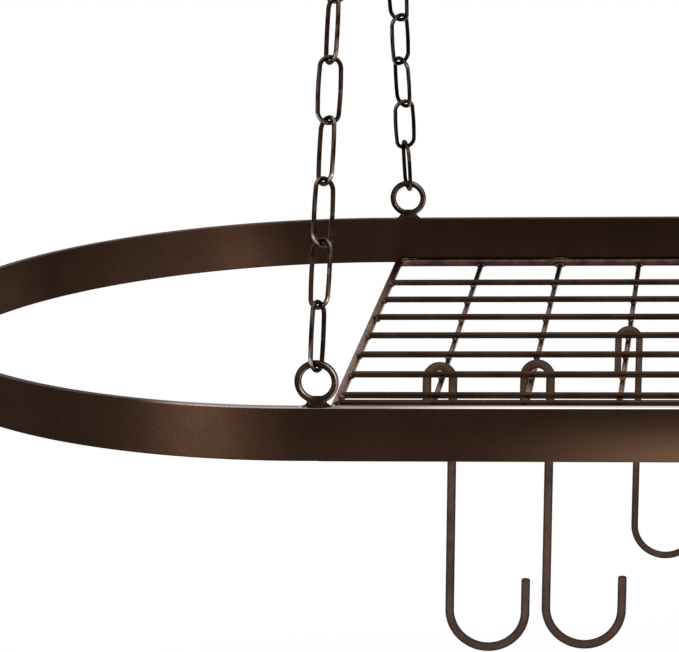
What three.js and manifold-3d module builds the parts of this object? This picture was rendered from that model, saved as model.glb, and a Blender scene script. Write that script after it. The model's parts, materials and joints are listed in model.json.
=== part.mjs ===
// Oval hanging pot rack: a flat-bar oval with a wire grid, held up by four chains on two ceiling hooks.
// Millimetres, +Z up. The origin is on the ceiling, midway between the two ceiling hooks. X runs along the
// oval, and -Y is the front. The right half is the left half turned about the upright centre line.
import * as THREE from 'three';
import { mergeVertices } from 'three/addons/utils/BufferGeometryUtils.js';
import Module from 'manifold-3d';

// ---- driving dimensions -------------------------------------------------------------------------------
const SEAT_GAP = 0.3; // between pieces that touch

const BAND_LENGTH = 914; // outside, end to end
const BAND_WIDTH = 495; // outside, front to back
const BAND_HEIGHT = 28.5;
const BAND_THICKNESS = 5;

const FRAME_WIRE = 4.8;
const FRAME_HALF_X = 204; // centre line of the side rods
const FRAME_CORNER = 5; // centre-line radius of its bent corners
const FRAME_RISE = 0.4; // frame's centre line above the band's lower edge

const CROSS_WIRE = 3.2;
const CROSS_RODS = 7;
const CROSS_MARGIN = 52.8; // a side rod's centre line to the nearest cross rod
const CROSS_DROP = 1.1; // cross rods' centre lines below the frame's
const LONG_WIRE = 3.7;
const LONG_RODS = 8;
const LONG_MARGIN = 71.8; // the frame's centre line to the outermost long rod
const PAIRED_STEP = 15; // the paired rod, in front of the seventh long rod
const PAIRED_WITH = 7;

const RING_WIRE = 3.8;
const RING_OUTSIDE = 22.9;
const RING_X = 199; // from the middle of the oval
const RING_LIFT = 13; // ring's centre above the band's upper edge
const NECK_WIDTH = 12.6;
const NECK_WAIST = 10.4;
const NECK_HEIGHT = 4.4;
const NECK_THICKNESS = 3.4;

const LINK_WIRE = 2.5;
const LINK_WIDTH = 13.8; // outside
const LINK_INNER_LENGTH = 33.4;
const LINKS = 16; // in each chain
const LOOSE_LINKS = 5; // the lower links, each a piece of its own
const JOINED_BITE = 0.25; // how far the joined upper links press into each other
const FRONT_TWISTS = [66, -33, 45, -46, 20, -56]; // degrees from face-on: the loose links, then the next
const BACK_TWISTS = [-68, 24, -42, 42, -23, 56];
const SQUARE = 90; // degrees between a link and the next; the top link is square to its hook's wire

const SADDLE_WIRE = 5.8;
const SADDLE_INSET = 10; // each ceiling hook is this much nearer the middle than the rings below it
const SADDLE_GAP = 0.4;
const SADDLE_RADIUS = 14; // centre line of the ceiling hook's bowl
const SADDLE_DROP = 44; // ceiling to the centre of the wire under the links
const ELBOW_TURN = 70; // degrees, from the shank round to the bowl
const SADDLE_TIP = 7; // straight end of the ceiling hook, above the bowl's centre
const COLLAR_DIAMETER = 18;
const COLLAR_THICKNESS = 3;
const SCREW_DIAMETER = 6;
const SCREW_LENGTH = 32;
const SCREW_POINT = 7;

const LARGE_HOOK = { wire: 5, seat: 19.6, height: 168.6, mouth: 48, tip: 43.7, leg: 28 };
const SMALL_HOOK = { wire: 4, seat: 16.2, height: 140.2, mouth: 40, tip: 37, leg: 23 };
const HOOK_LEAN = 1.9; // degrees
// On the left half: which cross rod carries it, after which long rod it hangs, how far it is from there to
// the next one as a share of their pitch, and how far the cross rod lies off the middle of its seat.
const HOOKS = [
  { name: 'large_pot_hook', rod: 1, after: 5, share: 0.72, shift: 1.9, size: LARGE_HOOK },
  { name: 'large_pot_hook', rod: 2, after: 5, share: 0.608, shift: -2.2, size: LARGE_HOOK },
  { name: 'small_pot_hook', rod: 3, after: 3, share: 0.7, shift: 0, size: SMALL_HOOK },
];

const OVAL_STEPS = 32; // in each half-round end, an even count
const ROD_SIDES = 8; // an even count
const LINK_SIDES = 6;
const LOOSE_LINK_STEPS = 12;
const JOINED_LINK_STEPS = 8;
const RING_STEPS = 16;
const BEND_STEPS = 8;
const DISC_SIDES = 20;
const ELBOW_STEPS = 4;
const BOWL_STEPS = 10; // from the elbow down to the bowl's lowest point

// ---- worked-out places --------------------------------------------------------------------------------
const ringRadius = (RING_OUTSIDE - RING_WIRE) / 2;
const ringY = (BAND_WIDTH - BAND_THICKNESS) / 2; // the middle of the band's edge
const frameHalfY = BAND_WIDTH / 2 - BAND_THICKNESS - SEAT_GAP - FRAME_WIRE / 2;
const crossLength = 2 * (frameHalfY - FRAME_WIRE / 2 - SEAT_GAP);
const crossPitch = 2 * (FRAME_HALF_X - CROSS_MARGIN) / (CROSS_RODS - 1);
const crossX = (place) => crossPitch * (place - (CROSS_RODS + 1) / 2);
const crossZ = FRAME_RISE - CROSS_DROP;
const longLength = 2 * (FRAME_HALF_X - FRAME_WIRE / 2 - SEAT_GAP);
const longZ = crossZ + (CROSS_WIRE + LONG_WIRE) / 2 + SEAT_GAP; // laid on the cross rods
const longPitch = 2 * (frameHalfY - LONG_MARGIN) / (LONG_RODS - 1);
const longY = (place) => longPitch * ((LONG_RODS + 1) / 2 - place);

const linkCentres = LINK_INNER_LENGTH + LINK_WIRE; // bend to bend, on the wire's centre line
const looseStep = LINK_INNER_LENGTH - SEAT_GAP;
const joinedStep = LINK_INNER_LENGTH + JOINED_BITE;
const firstJoined = LOOSE_LINKS;
const topLink = LINKS - 1;
const linkStarts = [-(RING_WIRE + LINK_WIRE) / 2 - SEAT_GAP];
for (let i = 1; i < LINKS; i += 1) {
  const joined = i > firstJoined && i < topLink;
  linkStarts.push(linkStarts[i - 1] + (joined ? joinedStep : looseStep));
}
const chainLength = linkStarts[topLink] + linkCentres - (LINK_WIRE + SADDLE_WIRE) / 2 - SADDLE_GAP;
const chainRise = Math.sqrt(chainLength ** 2 - ringY ** 2 - SADDLE_INSET ** 2);
const chainLean = Math.atan(ringY / chainRise); // towards the middle of the band's width
const chainInset = Math.asin(SADDLE_INSET / chainLength); // and of its length
const chainOffset = (LINK_WIRE + SEAT_GAP) / 2; // the two top links hang side by side
const ringTopZ = -SADDLE_DROP - chainRise;
const bandZ = ringTopZ - ringRadius - RING_LIFT - BAND_HEIGHT; // the band's lower edge

const bronze = (color, roughness) => new THREE.MeshStandardMaterial({ color, roughness, metalness: 0.8 });
const finish = {
  band: bronze(0x3d2a20, 0.45),
  rod: bronze(0x4a342a, 0.4),
  link: bronze(0x33241d, 0.35),
  hook: bronze(0x45332a, 0.42),
};

// ---- shapes -------------------------------------------------------------------------------------------
const wasm = await Module();
wasm.setup();

function toSolid(geometry) {
  const bare = geometry.clone();
  bare.deleteAttribute('normal');
  bare.deleteAttribute('uv');
  const merged = mergeVertices(bare, 1e-5);
  return new wasm.Manifold(new wasm.Mesh({
    numProp: 3,
    vertProperties: new Float32Array(merged.attributes.position.array),
    triVerts: new Uint32Array(merged.index.array),
  }));
}

function toGeometry(solid) {
  const mesh = solid.getMesh();
  const geometry = new THREE.BufferGeometry();
  geometry.setAttribute('position', new THREE.BufferAttribute(mesh.vertProperties, 3));
  geometry.setIndex(new THREE.BufferAttribute(mesh.triVerts, 1));
  geometry.computeVertexNormals();
  return geometry;
}

function fuse(geometries) {
  return toGeometry(geometries.map(toSolid).reduce((whole, piece) => whole.add(piece)));
}

// A closed wire loop: a torus whose quarters are moved apart, so that straight runs join its bends.
function wireLoop(radius, wire, halfX, halfY, sides, steps) {
  const bend = radius / Math.cos(Math.PI / steps); // flats, not corners, lie at the stated radius
  const geometry = new THREE.TorusGeometry(bend, wire / 2, sides, steps);
  geometry.rotateZ(Math.PI / steps);
  const place = geometry.attributes.position;
  for (let i = 0; i < place.count; i += 1) {
    place.setX(i, place.getX(i) + Math.sign(place.getX(i)) * halfX);
    place.setY(i, place.getY(i) + Math.sign(place.getY(i)) * halfY);
  }
  return geometry;
}

// A wire's centre line in the X-Z plane, one step for each station.
class WirePath extends THREE.Curve {
  constructor(stations) {
    super();
    this.stations = stations;
  }

  getPointAt(u, target = new THREE.Vector3()) {
    return target.copy(this.stations[Math.round(u * (this.stations.length - 1))]);
  }

  getTangentAt(u, target = new THREE.Vector3()) {
    const last = this.stations.length - 1;
    const i = Math.round(u * last);
    const here = this.stations[i];
    const ahead = this.stations[Math.min(i + 1, last)].clone().sub(here).normalize();
    const behind = here.clone().sub(this.stations[Math.max(i - 1, 0)]).normalize();
    return target.copy(ahead.add(behind)).normalize();
  }
}

function bendStations(centreX, centreZ, radius, from, to, steps = BEND_STEPS) {
  return Array.from({ length: steps + 1 }, (_, i) => {
    const angle = THREE.MathUtils.degToRad(from + (to - from) * i / steps);
    return new THREE.Vector3(centreX + radius * Math.cos(angle), 0, centreZ + radius * Math.sin(angle));
  });
}

function bentWire(stations, wire) {
  const section = new THREE.Shape().absarc(0, 0, wire / 2, 0, 2 * Math.PI);
  return new THREE.ExtrudeGeometry(section, {
    extrudePath: new WirePath(stations),
    steps: stations.length - 1,
    curveSegments: ROD_SIDES / 2,
    bevelEnabled: false,
  });
}

function disc(diameter, fromZ, toZ, endDiameter = diameter) {
  const geometry = new THREE.CylinderGeometry(endDiameter / 2, diameter / 2, toZ - fromZ, DISC_SIDES);
  geometry.rotateX(Math.PI / 2);
  return geometry.translate(0, 0, (fromZ + toZ) / 2);
}

function ovalBand() {
  const straight = (BAND_LENGTH - BAND_WIDTH) / 2;
  const trace = (path, radius) => {
    path.absarc(straight, 0, radius, -Math.PI / 2, Math.PI / 2);
    path.absarc(-straight, 0, radius, Math.PI / 2, 3 * Math.PI / 2);
    return path;
  };
  const outline = trace(new THREE.Shape(), BAND_WIDTH / 2);
  outline.holes.push(trace(new THREE.Path(), BAND_WIDTH / 2 - BAND_THICKNESS));
  return new THREE.ExtrudeGeometry(outline, {
    depth: BAND_HEIGHT, curveSegments: OVAL_STEPS / 2, bevelEnabled: false,
  });
}

function gridFrame() {
  const halfX = FRAME_HALF_X - FRAME_CORNER;
  const halfY = frameHalfY - FRAME_CORNER;
  return wireLoop(FRAME_CORNER, FRAME_WIRE, halfX, halfY, ROD_SIDES, RING_STEPS);
}

function straightRod(wire, length) {
  return new THREE.CylinderGeometry(wire / 2, wire / 2, length, ROD_SIDES);
}

// The ring stands on a short welded neck, whose foot is at z = 0 here.
function hangingRing() {
  const ring = wireLoop(ringRadius, RING_WIRE, 0, 0, ROD_SIDES, RING_STEPS);
  ring.translate(0, RING_LIFT, 0);
  const side = NECK_WIDTH / 2;
  const pinch = NECK_WAIST - side; // control point that draws the side in to the waist
  const neck = new THREE.Shape();
  neck.moveTo(-side, SEAT_GAP);
  neck.lineTo(side, SEAT_GAP);
  neck.quadraticCurveTo(pinch, (SEAT_GAP + NECK_HEIGHT) / 2, side, NECK_HEIGHT);
  neck.lineTo(-side, NECK_HEIGHT);
  neck.quadraticCurveTo(-pinch, (SEAT_GAP + NECK_HEIGHT) / 2, -side, SEAT_GAP);
  const foot = new THREE.ExtrudeGeometry(neck, {
    depth: NECK_THICKNESS, curveSegments: ELBOW_STEPS, bevelEnabled: false,
  });
  foot.translate(0, 0, -NECK_THICKNESS / 2);
  return fuse([ring, foot]).rotateX(Math.PI / 2);
}

// One link stands on its lower bend's centre, turned by its twist about the chain's own line.
function chainLink(steps, twist, start) {
  const radius = (LINK_WIDTH - LINK_WIRE) / 2;
  const link = wireLoop(radius, LINK_WIRE, 0, linkCentres / 2 - radius, LINK_SIDES, steps);
  link.rotateX(Math.PI / 2);
  link.rotateZ(THREE.MathUtils.degToRad(twist));
  return link.translate(0, 0, start + linkCentres / 2);
}

// The joined links turn by even steps, each nearly square to the last, up to the top link.
function joinedChain(firstTwist) {
  const count = topLink - firstJoined;
  const rest = SQUARE - firstTwist - SQUARE * count;
  const step = SQUARE + (rest - 2 * SQUARE * Math.round(rest / (2 * SQUARE))) / count;
  return fuse(Array.from({ length: count }, (_, i) => {
    return chainLink(JOINED_LINK_STEPS, firstTwist + step * i, linkStarts[firstJoined + i]);
  }));
}

// A screw hook: a pointed screw above the ceiling, a collar under it, and a round bowl for the top links.
function ceilingHook() {
  const turn = THREE.MathUtils.degToRad(ELBOW_TURN);
  const elbow = SADDLE_RADIUS * Math.cos(turn) / (1 - Math.cos(turn)); // it runs smoothly into the bowl
  const bowlZ = SADDLE_RADIUS - SADDLE_DROP;
  const elbowZ = bowlZ + (SADDLE_RADIUS + elbow) * Math.sin(turn);
  const wire = bentWire([
    new THREE.Vector3(0, 0, -COLLAR_THICKNESS / 2),
    ...bendStations(elbow, elbowZ, elbow, 180, 180 + ELBOW_TURN, ELBOW_STEPS),
    ...bendStations(0, bowlZ, SADDLE_RADIUS, ELBOW_TURN, -90, BOWL_STEPS).slice(1),
    ...bendStations(0, bowlZ, SADDLE_RADIUS, -90, -180, ELBOW_STEPS).slice(1),
    new THREE.Vector3(-SADDLE_RADIUS, 0, bowlZ + SADDLE_TIP),
  ], SADDLE_WIRE);
  const pointStart = SCREW_LENGTH - SCREW_POINT;
  return fuse([
    wire,
    disc(COLLAR_DIAMETER, -COLLAR_THICKNESS, 0),
    disc(SCREW_DIAMETER, -COLLAR_THICKNESS / 2, pointStart),
    disc(SCREW_DIAMETER, pointStart, SCREW_LENGTH, SCREW_DIAMETER / 4),
  ]);
}

// A pot hook about the centre of the cross rod it hangs on: a short leg, the seat, the shank and the mouth.
function potHook(size, shift) {
  const seat = (size.seat - size.wire) / 2;
  const reach = size.seat / 2 - size.wire - CROSS_WIRE / 2 - SEAT_GAP;
  const seatX = -shift;
  const seatZ = -Math.sqrt(reach ** 2 - shift ** 2);
  const bottom = seatZ + size.seat / 2 - size.height;
  const mouth = (size.mouth - size.wire) / 2;
  const mouthX = seatX + seat + mouth;
  return bentWire([
    new THREE.Vector3(seatX - seat, 0, seatZ - size.leg),
    ...bendStations(seatX, seatZ, seat, 180, 0),
    ...bendStations(mouthX, bottom + size.mouth / 2, mouth, 180, 360, BEND_STEPS + 2),
    new THREE.Vector3(mouthX + mouth, 0, bottom + size.tip),
  ], size.wire);
}

// ---- assembly -----------------------------------------------------------------------------------------
function piece(name, geometry, material) {
  const mesh = new THREE.Mesh(geometry, material);
  mesh.name = name;
  return mesh;
}

function grid() {
  const group = new THREE.Group();
  const frame = piece('grid_frame', gridFrame(), finish.rod);
  frame.position.z = FRAME_RISE;
  group.add(frame);
  for (let i = 1; i <= CROSS_RODS; i += 1) {
    const rod = piece(`cross_rod_${i}`, straightRod(CROSS_WIRE, crossLength), finish.rod);
    rod.position.set(crossX(i), 0, crossZ);
    group.add(rod);
  }
  const longRod = (name, y) => {
    const rod = piece(name, straightRod(LONG_WIRE, longLength), finish.rod);
    rod.rotation.z = Math.PI / 2;
    rod.position.set(0, y, longZ);
    group.add(rod);
  };
  for (let i = 1; i <= LONG_RODS; i += 1) {
    longRod(`long_rod_${i}`, longY(i));
  }
  longRod('paired_long_rod', longY(PAIRED_WITH) - PAIRED_STEP);
  return group;
}

function ringOnBand(name, x, front) {
  const ring = piece(`hanging_ring_${name}`, hangingRing(), finish.hook);
  ring.position.set(x, front * ringY, bandZ + BAND_HEIGHT);
  return ring;
}

// A chain leans from its ring up to the ceiling hook.
function chain(name, x, front, twists) {
  const group = new THREE.Group();
  group.position.set(x, front * ringY, ringTopZ);
  group.rotation.set(front * chainLean, chainInset, 0);
  for (let i = 0; i < LOOSE_LINKS; i += 1) {
    const link = chainLink(LOOSE_LINK_STEPS, twists[i], linkStarts[i]);
    group.add(piece(`chain_link_${name}_${i + 1}`, link, finish.link));
  }
  group.add(piece(`upper_chain_${name}`, joinedChain(twists[firstJoined]), finish.link));
  const top = chainLink(LOOSE_LINK_STEPS, SQUARE, linkStarts[topLink]);
  group.add(piece(`top_link_${name}`, top, finish.link));
  return group;
}

function half(turn, frontName, backName, side) {
  const group = new THREE.Group();
  group.rotation.z = turn;
  const frontX = -RING_X - chainOffset;
  const backX = -RING_X + chainOffset;
  group.add(ringOnBand(frontName, frontX, -1), ringOnBand(backName, backX, 1));
  group.add(chain(frontName, frontX, -1, FRONT_TWISTS), chain(backName, backX, 1, BACK_TWISTS));
  const saddle = piece(`ceiling_hook_${side}`, ceilingHook(), finish.hook);
  saddle.position.x = SADDLE_INSET - RING_X;
  group.add(saddle);
  for (const { name, rod, after, share, shift, size } of HOOKS) {
    const hook = piece(`${name}_${side}_${rod}`, potHook(size, shift), finish.hook);
    hook.position.set(crossX(rod), longY(after + share), bandZ + crossZ);
    hook.rotation.y = THREE.MathUtils.degToRad(HOOK_LEAN);
    group.add(hook);
  }
  return group;
}

const potRack = new THREE.Group();
const band = piece('oval_band', ovalBand(), finish.band);
band.position.z = bandZ;
const wireGrid = grid();
wireGrid.position.z = bandZ;
potRack.add(band, wireGrid);
potRack.add(half(0, 'front_left', 'back_left', 'left'));
potRack.add(half(Math.PI, 'back_right', 'front_right', 'right'));

export default potRack;
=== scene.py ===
import json
import math

import bmesh
import bpy
from mathutils import Matrix, Vector, noise


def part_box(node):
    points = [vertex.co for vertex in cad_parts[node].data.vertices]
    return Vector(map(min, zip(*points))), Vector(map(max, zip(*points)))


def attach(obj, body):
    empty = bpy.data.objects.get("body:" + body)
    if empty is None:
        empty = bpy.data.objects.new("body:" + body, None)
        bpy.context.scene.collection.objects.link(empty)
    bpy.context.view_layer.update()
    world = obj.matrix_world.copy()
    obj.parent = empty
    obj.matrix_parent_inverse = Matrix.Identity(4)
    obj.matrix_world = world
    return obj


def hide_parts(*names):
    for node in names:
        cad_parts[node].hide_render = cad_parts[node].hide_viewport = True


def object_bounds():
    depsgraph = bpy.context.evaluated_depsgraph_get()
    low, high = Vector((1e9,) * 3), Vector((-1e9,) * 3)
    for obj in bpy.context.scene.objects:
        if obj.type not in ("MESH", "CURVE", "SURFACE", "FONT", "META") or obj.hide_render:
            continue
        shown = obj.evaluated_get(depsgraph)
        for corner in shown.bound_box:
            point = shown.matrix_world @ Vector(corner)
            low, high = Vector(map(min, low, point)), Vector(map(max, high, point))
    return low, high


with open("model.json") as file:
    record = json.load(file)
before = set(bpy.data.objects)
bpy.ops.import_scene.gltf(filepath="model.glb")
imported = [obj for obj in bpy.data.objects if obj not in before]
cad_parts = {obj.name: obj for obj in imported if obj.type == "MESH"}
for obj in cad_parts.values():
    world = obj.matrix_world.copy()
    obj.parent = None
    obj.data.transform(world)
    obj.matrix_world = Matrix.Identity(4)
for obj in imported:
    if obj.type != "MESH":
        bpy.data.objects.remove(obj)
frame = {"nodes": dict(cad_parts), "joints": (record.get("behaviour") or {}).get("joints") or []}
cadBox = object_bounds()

mm = 0.001
scene = bpy.context.scene
joints = {joint["name"]: joint for joint in frame["joints"]}

# places that the other pieces are set out from
bandLow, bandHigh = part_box("oval_band")
bandTop = bandHigh.z
bandBottom = bandLow.z
gridLow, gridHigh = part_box("grid_frame")


def jointPoint(name):
    return Vector(joints[name]["pos_m"])


def nodeCentre(name):
    low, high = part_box(name)
    return (low + high) / 2


def nodesOf(start):
    return sorted(name for name in frame["nodes"] if name.startswith(start))


def nameOf(start, where, end=""):
    return start + "".join(word.title() for word in where.split("_")) + str(end)


# camera, at the photograph's angle
photo = {
    "wide": 679,  # pixels
    "focal": 3706.6,  # pixels
    "eye": Vector((0.0219, -2.0732, 0.4929)),  # from the band's lower edge
    "turn": 0.1142,  # radians to the left
    "dip": 0.2255,
    "roll": -0.0265,
    "sensor": 36.0,
    "clip": (0.05, 60),
}


def makeCamera(view):
    turn, dip, roll = view["turn"], view["dip"], view["roll"]
    flat = Vector((-math.sin(turn), math.cos(turn), 0))
    level = Vector((math.cos(turn), math.sin(turn), 0))
    ahead = flat * math.cos(dip) - Vector((0, 0, math.sin(dip)))
    above = flat * math.sin(dip) + Vector((0, 0, math.cos(dip)))
    right = level * math.cos(roll) + above * math.sin(roll)
    up = above * math.cos(roll) - level * math.sin(roll)
    lens = bpy.data.cameras.new("photoCamera")
    lens.sensor_width = view["sensor"]
    lens.lens = view["focal"] / view["wide"] * view["sensor"]
    lens.clip_start, lens.clip_end = view["clip"]
    camera = bpy.data.objects.new("photoCamera", lens)
    scene.collection.objects.link(camera)
    place = Matrix((right, up, -ahead)).transposed().to_4x4()
    place.translation = view["eye"] + Vector((0, 0, bandBottom))
    camera.matrix_world = place
    scene.camera = camera


makeCamera(photo)
print("camera placed")


# meshes, built from loops of corners
def unitCircle(count):
    turns = [2 * math.pi * i / count for i in range(count)]
    return [(math.cos(a), math.sin(a)) for a in turns]


def skin(mesh, loops, closed=False):
    # faces from each loop to the next; a loop may be a single corner
    for low, high in zip(loops, loops[1:] + loops[:1] if closed else loops[1:]):
        count = max(len(low), len(high))
        for s in range(count):
            n = (s + 1) % count
            near = (low[s], low[n]) if len(low) > 1 else (low[0],)
            far = (high[n], high[s]) if len(high) > 1 else (high[0],)
            mesh.faces.new(near + far)


def fan(mesh, loop, place):
    tip = mesh.verts.new(place)
    for s in range(len(loop)):
        mesh.faces.new((loop[s], loop[(s + 1) % len(loop)], tip))


def lids(mesh, loops):
    for loop in (loops[0], loops[-1]):
        if len(loop) > 1:
            mesh.faces.new(loop)


# wires, swept along flat paths
def arc(centre, radius, start, end, steps):
    angles = [math.radians(start + (end - start) * i / steps) for i in range(steps + 1)]
    return [(centre[0] + radius * math.cos(a), centre[1] + radius * math.sin(a)) for a in angles]


def withoutDoubles(path, closed, near=1e-7):
    kept = []
    for point in path:
        if not kept or (Vector(point) - Vector(kept[-1])).length > near:
            kept.append(point)
    if closed and (Vector(kept[0]) - Vector(kept[-1])).length <= near:
        kept.pop()
    return kept


def sweepWire(name, path, radius, sides=20, closed=False, ends=(), notch=None, wear=None):
    # path is in the X-Z plane; ends are (how far in from the tip, share of the radius) for rounded tips;
    # notch narrows the wire where the path crosses Z = 0 on its positive side; the last argument gives, for a
    # place on the path and how far outwards a spot on the wire faces, its share of painted highlight
    path = [Vector((x, 0, z)) for x, z in withoutDoubles(path, closed)]
    count = len(path)
    tangents = []
    for i in range(count):
        ahead = path[(i + 1) % count] if closed else path[min(i + 1, count - 1)]
        behind = path[i - 1] if closed else path[max(i - 1, 0)]
        tangents.append((ahead - behind).normalized())
    rings = [(p, t, radius) for p, t in zip(path, tangents)]
    if not closed:
        head, headTurn, _ = rings[0]
        tail, tailTurn, _ = rings[-1]
        first = [(head + headTurn * inset, headTurn, radius * share) for inset, share in ends]
        last = [(tail - tailTurn * inset, tailTurn, radius * share) for inset, share in reversed(ends)]
        rings = first + rings[1:-1] + last
    mesh = bmesh.new()
    # each corner's share of painted highlight, which the bronze finish reads
    worn = mesh.verts.layers.float.new("worn")
    side, around, loops = Vector((0, 1, 0)), unitCircle(sides), []
    for centre, tangent, size in rings:
        outwards = tangent.cross(side)
        cut = notch and centre.x > 0 and abs(centre.z) < notch[0] / 4
        swell = size * (notch[1] if cut else 1)
        offsets = [side * c + outwards * t for c, t in around]
        loops.append([mesh.verts.new(centre + offset * swell) for offset in offsets])
        for corner, offset in zip(loops[-1], offsets):
            corner[worn] = wear(centre, offset.dot(centre.normalized())) if wear else 0.0
    skin(mesh, loops, closed)
    if not closed:
        fan(mesh, loops[0], rings[0][0])
        fan(mesh, loops[-1], rings[-1][0])
    return meshObject(name, mesh)


def meshObject(name, mesh, smooth=True):
    bmesh.ops.recalc_face_normals(mesh, faces=mesh.faces)
    for face in mesh.faces:
        face.smooth = smooth
    data = bpy.data.meshes.new(name)
    mesh.to_mesh(data)
    mesh.free()
    made = bpy.data.objects.new(name, data)
    scene.collection.objects.link(made)
    return made


def bump(value, peak, width):
    return math.exp(-((value - peak) / width) ** 2)


def cutTip(radius):
    # a wire's slightly rounded end
    return [(0.0, 0.72), (0.06 * radius, 0.86), (0.22 * radius, 0.97), (0.5 * radius, 1.0)]


def moved(made, place):
    made.data.transform(place)


def joined(name, pieces):
    bpy.ops.object.select_all(action="DESELECT")
    for made in pieces:
        made.select_set(True)
    bpy.context.view_layer.objects.active = pieces[0]
    bpy.ops.object.join()
    pieces[0].name = name
    pieces[0].data.name = name
    return pieces[0]


def dress(made, material, body, slot, *nodes):
    made.data.materials.clear()
    made.data.materials.append(material)
    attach(made, body)
    if nodes:
        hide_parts(*nodes)


# node trees
def feed(tree, socket, value):
    if isinstance(value, bpy.types.NodeSocket):
        tree.links.new(value, socket)
    else:
        socket.default_value = value


def feedAll(tree, node, values):
    # the sockets are named without their spaces
    for key, value in values.items():
        feed(tree, next(s for s in node.inputs if s.name.replace(" ", "") == key and s.enabled), value)


def newTree(name, kind, inputs, outputs):
    tree = bpy.data.node_groups.new(name, kind)
    for label, sort, value in inputs:
        socket = tree.interface.new_socket(label, in_out="INPUT", socket_type="NodeSocket" + sort)
        if value is not None:
            socket.default_value = value
    for label, sort in outputs:
        tree.interface.new_socket(label, in_out="OUTPUT", socket_type="NodeSocket" + sort)
    return tree, tree.nodes.new("NodeGroupInput").outputs, tree.nodes.new("NodeGroupOutput").inputs


def newGeometry(name, inputs):
    inputs = [("Geometry", "Geometry", None)] + inputs + [("Material", "Material", None)]
    tree, given, result = newTree(name, "GeometryNodeTree", inputs, [("Geometry", "Geometry")])
    tree.is_modifier = True
    return tree, given, result


def addNode(tree, kind, settings=None, **sockets):
    node = tree.nodes.new(kind)
    for key, value in (settings or {}).items():
        setattr(node, key, value)
    feedAll(tree, node, sockets)
    return node


def out(node):
    return next(s for s in node.outputs if s.enabled)


def mathNode(tree, operation, first, second=0.0):
    node = tree.nodes.new("ShaderNodeMath")
    node.operation = operation
    feed(tree, node.inputs[0], first)
    feed(tree, node.inputs[1], second)
    return node.outputs[0]


def times(tree, first, second):
    return mathNode(tree, "MULTIPLY", first, second)


def plus(tree, first, second):
    return mathNode(tree, "ADD", first, second)


def minus(tree, first, second):
    return mathNode(tree, "SUBTRACT", first, second)


def combine(tree, **parts):
    return addNode(tree, "ShaderNodeCombineXYZ", **parts).outputs[0]


def copies(tree, given, points, **turns):
    # the object's own mesh on each point
    return addNode(tree, "GeometryNodeInstanceOnPoints", Points=points.outputs[0], Instance=given["Geometry"],
                   **turns).outputs[0]


def endTree(tree, given, result, geometry, crease=None):
    # crease is the turn, in radians, from which an edge is shaded sharp
    real = addNode(tree, "GeometryNodeRealizeInstances", Geometry=geometry)
    shade = addNode(tree, "GeometryNodeSetShadeSmooth", Geometry=real.outputs[0])
    if crease:
        turn = addNode(tree, "GeometryNodeInputMeshEdgeAngle").outputs[0]
        shade = addNode(tree, "GeometryNodeSetShadeSmooth", {"domain": "EDGE"}, Geometry=shade.outputs[0],
                        ShadeSmooth=mathNode(tree, "LESS_THAN", turn, crease))
    coat = addNode(tree, "GeometryNodeSetMaterial", Geometry=shade.outputs[0], Material=given["Material"])
    tree.links.new(coat.outputs[0], result[0])
    return tree


def grow(made, tree, values):
    # run a tree on an object and keep the result as its plain mesh
    modifier = made.modifiers.new(tree.name, "NODES")
    modifier.node_group = tree
    known = {item.name: item.identifier for item in tree.interface.items_tree if item.in_out == "INPUT"}
    for label, value in values.items():
        modifier[known[label]] = value
    bpy.context.view_layer.update()
    shaped = made.evaluated_get(bpy.context.evaluated_depsgraph_get())
    data = bpy.data.meshes.new_from_object(shaped)
    made.modifiers.remove(modifier)
    made.data = data
    data.name = made.name
    return made


def emptyObject(name):
    made = bpy.data.objects.new(name, bpy.data.meshes.new(name))
    scene.collection.objects.link(made)
    return made


def barTree():
    # a flat bar bent on edge round an oval
    tree, given, result = newGeometry("ovalBar", [
        ("Length", "Float", 0.9), ("Width", "Float", 0.5), ("Height", "Float", 0.03), ("Thickness", "Float", 0.005),
        ("Edge Radius", "Float", 0.0008), ("Steps", "Int", 192),
    ])
    across = minus(tree, given["Width"], given["Thickness"])
    circle = addNode(tree, "GeometryNodeCurvePrimitiveCircle", {"mode": "RADIUS"}, Resolution=given["Steps"],
                     Radius=times(tree, across, 0.5))
    halfStep = mathNode(tree, "DIVIDE", math.pi, given["Steps"])
    spun = addNode(tree, "GeometryNodeTransform", Geometry=circle.outputs[0], Rotation=combine(tree, Z=halfStep))
    place = addNode(tree, "GeometryNodeInputPosition")
    parts = addNode(tree, "ShaderNodeSeparateXYZ", Vector=place.outputs[0])
    stretch = times(tree, minus(tree, given["Length"], given["Width"]), 0.5)
    shift = times(tree, mathNode(tree, "SIGN", parts.outputs["X"]), stretch)
    oval = addNode(tree, "GeometryNodeSetPosition", Geometry=spun.outputs[0], Offset=combine(tree, X=shift))
    upright = addNode(tree, "GeometryNodeSetCurveNormal", {"mode": "Z_UP"}, Curve=oval.outputs[0])
    section = addNode(tree, "GeometryNodeCurvePrimitiveQuadrilateral", {"mode": "RECTANGLE"},
                      Width=given["Thickness"], Height=given["Height"])
    eased = addNode(tree, "GeometryNodeFilletCurve", {"mode": "POLY"}, Curve=section.outputs[0],
                    Radius=given["Edge Radius"], Count=4, LimitRadius=True)
    bar = addNode(tree, "GeometryNodeCurveToMesh", Curve=upright.outputs[0], ProfileCurve=eased.outputs[0])
    return endTree(tree, given, result, bar.outputs[0], crease=0.1)


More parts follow.
